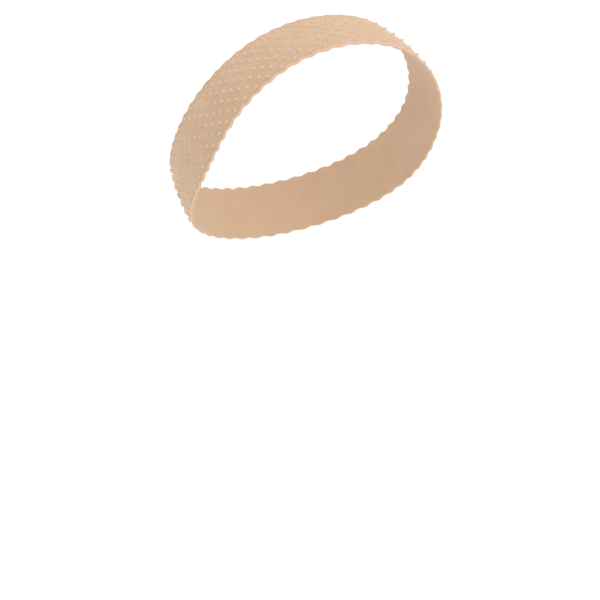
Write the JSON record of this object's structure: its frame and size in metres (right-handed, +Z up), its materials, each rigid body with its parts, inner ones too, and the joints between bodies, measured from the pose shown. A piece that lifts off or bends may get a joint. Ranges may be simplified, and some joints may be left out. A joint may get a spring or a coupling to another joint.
{
  "type": "wig grip band",
  "caption": "Moulded silicone wig grip band: a closed ring worn round the head, with staggered nubs on its outer face and scalloped, lipped edges.",
  "frame": {"origin": "middle of the head opening, at the centre of the oval form that the worn band is stretched over", "axes": "+Z up, the wearer faces -Y, and +X is to the wearer's left"},
  "size_m": [0.1622, 0.1527, 0.1431],
  "materials": {
    "silicone": "matte"
  },
  "bodies": {
    "root": {"grip_band": "silicone"}
  },
  "joints": []
}
